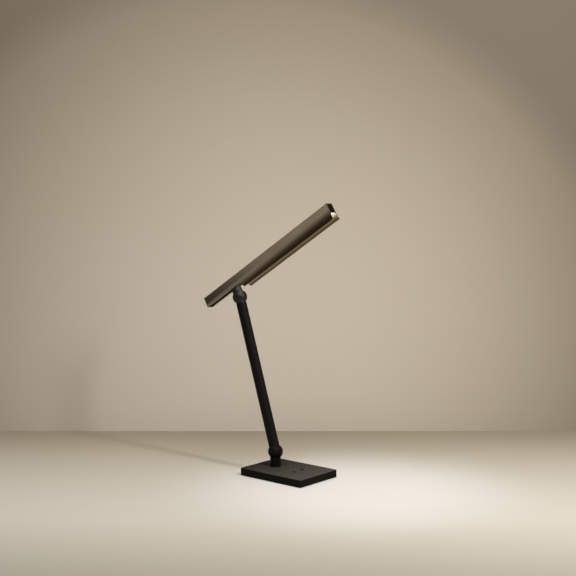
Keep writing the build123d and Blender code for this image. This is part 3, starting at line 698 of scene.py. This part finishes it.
ball_places = {
    joint["name"]: Vector(joint["pos_m"]) for joint in frame["joints"] if joint["type"] == "hinge"
}
lower_ball = ball_places["arm_tilt"]
upper_ball = ball_places["head_tilt"]
jack_middle = sum(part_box("jack_pin"), Vector()) / 2
nickel_parts = (
    ("lower_nickel", lower_ball, "Y", ("lower_pivot", "lower_pivot_nut")),
    ("upper_nickel", upper_ball, "Y", ("upper_pivot", "upper_pivot_nut")),
    ("post_nickel", lower_ball, "Z", ("post_washer", "post_nut")),
    ("contact_nickel", jack_middle, "X", ("jack_pin",)),
)
for name, middle, own_axis, names in nickel_parts:
    numbers = {"Rings per metre": 4000.0, "Rough from": 0.2, "Rough to": 0.34}
    for axis, value in zip("XYZ", middle):
        numbers[f"Centre {axis}"] = value
        numbers[f"Across {axis}"] = 0.0 if axis == own_axis else 1.0
    nickel = grained_finish(
        name,
        turned_group,
        numbers,
        {"Tone": (0.55, 0.52, 0.47), "Ring tone": (0.66, 0.63, 0.57)},
        bump=0.25,
        bump_depth=0.00002,
        constants={"Metallic": 1.0},
    )
    dress(nickel, *names)

# ---------------------------------------------------------------- friction washers
# Thin acetal washers between the ball halves, milky white and greasy, that
# give each joint its drag.
acetal = grained_finish(
    "milky_acetal",
    coat_group,
    {"Grain size": 0.0004, "Rough from": 0.3, "Rough to": 0.45},
    {
        "Tone": (0.70, 0.69, 0.65),
        "Cloud tone": (0.76, 0.75, 0.71),
        "Speck tone": (0.5, 0.49, 0.46),
    },
    bump=0.15,
    bump_depth=0.00003,
    constants={"Specular IOR Level": 0.5, "Subsurface Weight": 0.15, "Subsurface Scale": 0.001},
)
dress(acetal, "lower_friction_washer", "upper_friction_washer")

# ---------------------------------------------------------------- post, arm and balls
# Steel tube and turned ball halves in a smooth black coat; the ball halves are split down the
# middle where they turn.
# The upper ball's copy of the coat is shinier and painted lighter as painted light, the lower
# parts' copy darker as painted shade.
cloud_lift = 1.3
black_coats = (
    (
        "dull_shaded_black_coat", 0.07, (0.42, 0.52), (0.0068, 0.0058, 0.0058),
        (
            "post", "post_knuckle", "post_knuckle_cap",
            "arm_lower_knuckle", "arm_lower_knuckle_cap", "arm_tube",
        ),
    ),
    (
        "shiny_lit_black_coat", 0.32, (0.40, 0.46), (0.0098, 0.0082, 0.0086),
        ("arm_upper_knuckle", "arm_upper_knuckle_cap", "neck", "neck_cap"),
    ),
)
for name, shine, (rough_from, rough_to), tone, names in black_coats:
    black_coat = grained_finish(
        name,
        coat_group,
        {"Grain size": 0.0004, "Rough from": rough_from, "Rough to": rough_to},
        {
            "Tone": tone,
            "Cloud tone": tuple(cloud_lift * part for part in tone),
            "Speck tone": (0.016, 0.014, 0.013),
        },
        bump=0.2,
        bump_depth=0.00005,
        constants={"Specular IOR Level": shine},
    )
    dress(black_coat, *names)

# ---------------------------------------------------------------- leads
# Thin two-core leads in soft black vinyl, with a faint ripple from the
# extruder; they run inside the post, the arm and the head.
vinyl = grained_finish(
    "black_vinyl",
    coat_group,
    {"Grain size": 0.0008, "Rough from": 0.42, "Rough to": 0.55},
    {
        "Tone": (0.014, 0.014, 0.015),
        "Cloud tone": (0.02, 0.02, 0.02),
        "Speck tone": (0.04, 0.04, 0.04),
    },
    bump=0.3,
    bump_depth=0.00005,
    constants={"Specular IOR Level": 0.5},
)
dress(vinyl, "base_wire", "arm_wire", "head_wire")

# ---------------------------------------------------------------- lamp head
# One long aluminium extrusion, brushed along its length and anodised in a medium bronze; inside
# the trough it is blasted matt and painted with light: pale up by the LEDs, with painted shade at
# its lip.
head_tilt = math.radians(31.4)
head_ahead = Vector((math.cos(head_tilt), 0.0, math.sin(head_tilt)))
head_up = Vector((-math.sin(head_tilt), 0.0, math.cos(head_tilt)))
neck_height = 0.0193
bar_foot = upper_ball + head_up * neck_height
# Heights in the head are counted from the bar's foot, up through the head.
bar_width = 0.0147
shell_wall = 0.0013
skirt_depth = 0.0117
web_foot = 0.003
flare_start = 0.0067
flare_out = 0.0022
flare_drop = flare_start + skirt_depth
flare_radius = (flare_drop**2 + flare_out**2) / (2 * flare_out)
mid_wall = (bar_width - shell_wall) / 2
tree, entry, leave = effect_group(
    "extrusion_skin",
    ("Rough inside",),
    ("Tone", "Line tone", "Cloud tone", "Painted light inside tone", "Painted shade lip tone"),
    ("Color", "Roughness", "Height"),
)
shell_group = tree
brushed_inputs = {
    "Lines per metre": 2600.0,
    "Stretch": 0.004,
    "Rough from": 0.13,
    "Rough to": 0.19,
    "Turn": head_tilt,
    "Tone": entry["Tone"],
    "Line tone": entry["Line tone"],
    "Cloud tone": entry["Cloud tone"],
}
brushed = add_node(tree, "ShaderNodeGroup", brushed_inputs, node_tree=drawn_group).outputs
place = object_place(tree)
height = vector_math(tree, "DOT_PRODUCT", place, head_up)
height_in_head = arithmetic(tree, "SUBTRACT", height, bar_foot.dot(head_up))
below_start = arithmetic(tree, "SUBTRACT", flare_start, height_in_head)
drop = arithmetic(tree, "MAXIMUM", below_start, 0.0)
drop_squared = arithmetic(tree, "MULTIPLY", drop, drop)
swell = arithmetic(tree, "DIVIDE", drop_squared, 2 * flare_radius)
half_width_here = arithmetic(tree, "ADD", swell, mid_wall)
off_middle = arithmetic(tree, "ABSOLUTE", axes_of(tree, place)["Y"])
side_gap = arithmetic(tree, "SUBTRACT", half_width_here, off_middle)
below_web = arithmetic(tree, "LESS_THAN", height_in_head, web_foot)
between_walls = arithmetic(tree, "GREATER_THAN", side_gap, 0.0)
inside = arithmetic(tree, "MULTIPLY", between_walls, below_web)
# Painted light inside the trough: pale up by the LEDs, darkening to painted shade at the lip.
up_the_wall = mapped(tree, height_in_head, -skirt_depth, web_foot)
blast = noise_at(tree, place, scale=2500.0, detail=2.0)
blast_mask = mapped(tree, blast, 0.2, 0.5, to_low=0.9)
wall_part = arithmetic(tree, "MULTIPLY", up_the_wall, blast_mask)
painted_light_inside_tone = blend_colours(tree, wall_part, entry["Painted shade lip tone"], entry["Painted light inside tone"])
shell_looks = {
    "Color": blend_colours(tree, inside, brushed["Color"], painted_light_inside_tone),
    "Roughness": mapped(tree, inside, 0.0, 1.0, brushed["Roughness"], entry["Rough inside"]),
    "Height": brushed["Height"],
}
feed(tree, leave, shell_looks)

bronze_anodised = grained_finish(
    "bronze_anodised_extrusion",
    shell_group,
    {"Rough inside": 0.42},
    {
        "Tone": (0.30, 0.238, 0.172),
        "Line tone": (0.33, 0.265, 0.192),
        "Cloud tone": (0.28, 0.22, 0.157),
        "Painted light inside tone": (0.62, 0.55, 0.41),
        "Painted shade lip tone": (0.17, 0.115, 0.06),
    },
    bump=0.12,
    bump_depth=0.00003,
    constants={"Metallic": 1.0},
)
dress(bronze_anodised, "head_shell")

# ---------------------------------------------------------------- end plugs and tail cover
# Dark brown-black mouldings that close both ends of the extrusion and the
# channel under its tail, with a dull spark-eroded face.
plug_moulding = grained_finish(
    "brown_black_moulding",
    coat_group,
    {"Grain size": 0.0003, "Rough from": 0.6, "Rough to": 0.75},
    {
        "Tone": (0.0065, 0.0035, 0.0016),
        "Cloud tone": (0.009, 0.005, 0.0024),
        "Speck tone": (0.016, 0.010, 0.006),
    },
    bump=0.4,
    bump_depth=0.00005,
    constants={"Specular IOR Level": 0.04},
)
dress(plug_moulding, "front_cap", "rear_cap", "tail_cover")

# ---------------------------------------------------------------- nut plate
# A milled mild steel plate in the channel, drawn up against the web by the
# neck's stud; it keeps the lines of the bar that it was cut from.
milled_steel = grained_finish(
    "milled_steel",
    drawn_group,
    {
        "Lines per metre": 1800.0, "Stretch": 0.02, "Rough from": 0.25, "Rough to": 0.4,
        "Turn": head_tilt,
    },
    {
        "Tone": (0.44, 0.43, 0.42),
        "Line tone": (0.54, 0.53, 0.51),
        "Cloud tone": (0.40, 0.38, 0.36),
    },
    bump=0.2,
    bump_depth=0.00004,
    constants={"Metallic": 1.0},
)
dress(milled_steel, "neck_nut_plate")

# ---------------------------------------------------------------- LED board and chips
# A narrow aluminium board in white solder mask, with a row of white packages
# that each hold a round pool of yellow phosphor.
white_board = grained_finish(
    "white_solder_mask",
    board_group,
    {"Track pitch": 0.004, "Turn": head_tilt},
    {
        "Mask tone": (0.74, 0.74, 0.72),
        "Track tone": (0.68, 0.68, 0.66),
        "Pad tone": (0.7, 0.66, 0.55),
    },
    bump=0.5,
    bump_depth=0.00004,
    constants={"Specular IOR Level": 0.5},
)
dress(white_board, "led_board")

led_pitch = 0.008
led_row_ahead = 0.136
package_rough = 0.45
phosphor_rough = 0.2
led_middle = (bar_foot + head_ahead * led_row_ahead).dot(head_ahead)
tree, entry, leave = effect_group(
    "led_row",
    ("Window radius", "Edge"),
    ("Package tone", "Phosphor tone", "Glow tone"),
    ("Color", "Emission Color", "Roughness", "Height", "Mask"),
)
led_group = tree
place = object_place(tree)
ahead = vector_math(tree, "DOT_PRODUCT", place, head_ahead)
sideways = axes_of(tree, place)["Y"]
steps = arithmetic(tree, "MULTIPLY_ADD", ahead, 1.0 / led_pitch, -led_middle / led_pitch)
part_step = arithmetic(tree, "FRACT", steps)
from_chip = arithmetic(tree, "MULTIPLY_ADD", part_step, led_pitch, -led_pitch / 2)
sideways_squared = arithmetic(tree, "MULTIPLY", sideways, sideways)
distance_squared = arithmetic(tree, "MULTIPLY_ADD", from_chip, from_chip, sideways_squared)
to_centre = arithmetic(tree, "SQRT", distance_squared)
inner = arithmetic(tree, "SUBTRACT", entry["Window radius"], entry["Edge"])
window = mapped(tree, to_centre, entry["Window radius"], inner)
powder = noise_at(tree, place, scale=9000.0, detail=2.0)
powder_mask = mapped(tree, powder, 0.2, 0.6, to_low=0.8)
speckled = arithmetic(tree, "MULTIPLY", window, powder_mask)
led_looks = {
    "Color": blend_colours(tree, speckled, entry["Package tone"], entry["Phosphor tone"]),
    "Emission Color": blend_colours(tree, window, (0.0, 0.0, 0.0, 1.0), entry["Glow tone"]),
    "Roughness": mapped(tree, window, 0.0, 1.0, package_rough, phosphor_rough),
    "Height": arithmetic(tree, "MULTIPLY", window, -1.0),
    "Mask": window,
}
feed(tree, leave, led_looks)

led_finish = grained_finish(
    "phosphor_leds",
    led_group,
    {"Window radius": 0.0011, "Edge": 0.0001},
    {
        "Package tone": (0.80, 0.80, 0.78),
        "Phosphor tone": (0.85, 0.60, 0.08),
        "Glow tone": (1.0, 0.93, 0.78),
    },
    bump=0.4,
    bump_depth=0.0001,
    constants={"Emission Strength": 4.0},
)
dress(led_finish, "led_chips")

# ---------------------------------------------------------------- diffuser
# A frosted acrylic strip that slides in under the LEDs; each LED shows through
# it as a faint warmer pool in an even, nearly white glow.
diffuser_acrylic, tree, output = fresh_material("frosted_diffuser")
frost = noise_at(tree, object_place(tree), scale=1800.0, detail=2.0)
relief = add_node(
    tree, "ShaderNodeBump", {"Strength": 0.3, "Distance": 0.00003, "Height": frost}
)
led_pools = add_node(
    tree, "ShaderNodeGroup", {"Window radius": 0.0062, "Edge": 0.0055}, node_tree=led_group
)
pool_mask = led_pools.outputs["Mask"]
frost_tones = ((0.76, 0.74, 0.69, 1.0), (0.86, 0.84, 0.79, 1.0))
glow_tones = ((0.86, 0.82, 0.71, 1.0), (1.0, 0.965, 0.86, 1.0))
diffuser_looks = {
    "Base Color": blend_colours(tree, frost, *frost_tones),
    "Emission Color": blend_colours(tree, pool_mask, *glow_tones),
    "Roughness": mapped(tree, frost, 0.0, 1.0, 0.35, 0.55),
    "Normal": relief.outputs["Normal"],
    "Emission Strength": 3.6,
    "Specular IOR Level": 0.5,
}
shader = add_node(tree, "ShaderNodeBsdfPrincipled", diffuser_looks)
tree.links.new(shader.outputs["BSDF"], output.inputs["Surface"])
dress(diffuser_acrylic, "diffuser")
